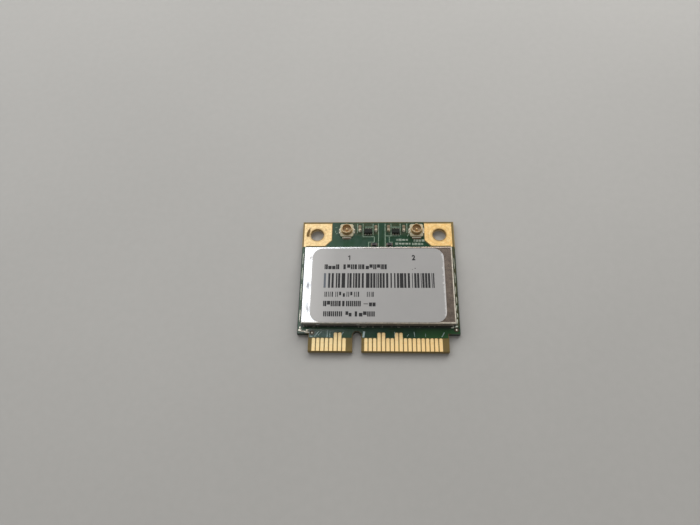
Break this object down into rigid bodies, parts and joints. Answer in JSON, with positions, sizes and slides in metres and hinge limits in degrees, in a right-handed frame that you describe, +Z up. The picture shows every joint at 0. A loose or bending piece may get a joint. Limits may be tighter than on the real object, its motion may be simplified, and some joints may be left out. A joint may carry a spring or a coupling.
{
  "type": "laptop wifi card",
  "caption": "Half-size mini card radio module for a laptop: green board with an edge connector, gold screw pads, antenna jacks and a labelled metal shield.",
  "frame": {"origin": "under the middle of the card, on the plane it lies on", "axes": "+X across the card to the side with the long contact row, +Y towards the antenna end, +Z up through the component side"},
  "size_m": [0.03, 0.0268, 0.0028],
  "materials": {
    "laminate": "bare glass-epoxy laminate, satin",
    "mask": "green solder mask, satin gloss",
    "gold": "gold plate, soft shine",
    "jack_plastic": "beige moulded plastic",
    "solder": "bright solder",
    "shield_steel": "tinned steel sheet, fine grain",
    "label_paper": "pale grey printed label, matt",
    "chip_black": "black moulded package, matt",
    "capacitor_ceramic": "brown fired ceramic",
    "resistor_ceramic": "black glazed ceramic",
    "crystal_ceramic": "dark fired ceramic",
    "core_grey": "pressed iron powder, matt"
  },
  "bodies": {
    "root": {"circuit_board": "laminate", "solder_mask_top": "mask", "solder_mask_underside": "mask", "top_contacts_short_row": "gold", "top_contacts_long_row": "gold", "underside_contacts_short_row": "gold", "underside_contacts_long_row": "gold", "mounting_pad_left": "gold", "mounting_pad_right": "gold", "antenna_jack_1_base": "jack_plastic", "antenna_jack_1_ring": "gold", "antenna_jack_1_pin": "gold", "antenna_jack_1_solder": "solder", "antenna_jack_2_base": "jack_plastic", "antenna_jack_2_ring": "gold", "antenna_jack_2_pin": "gold", "antenna_jack_2_solder": "solder", "shield_solder_track": "solder", "shield_frame": "shield_steel", "shield_lid": "shield_steel", "label": "label_paper", "wifi_chip": "chip_black", "wifi_chip_terminals": "solder", "crystal_case": "crystal_ceramic", "crystal_cover": "shield_steel", "memory_chip": "chip_black", "memory_chip_leads": "solder", "regulator": "chip_black", "regulator_leads": "solder", "power_inductor": "core_grey", "power_inductor_terminals": "solder", "power_amplifier_1": "chip_black", "power_amplifier_2": "chip_black", "power_amplifier_heat_pads": "solder", "band_filter_bodies": "capacitor_ceramic", "band_filter_ends": "solder", "decoupling_capacitor_bodies": "capacitor_ceramic", "decoupling_capacitor_ends": "solder", "bias_resistor_bodies": "resistor_ceramic", "bias_resistor_ends": "solder", "component_lands": "solder", "matching_capacitor_bodies": "capacitor_ceramic", "matching_capacitor_ends": "solder", "side_resistor_bodies": "resistor_ceramic", "side_resistor_ends": "solder", "antenna_switch_1": "chip_black", "antenna_switch_2": "chip_black", "antenna_switch_leads": "solder", "fiducial_dots": "solder", "underside_test_pads": "gold"}
  },
  "joints": []
}
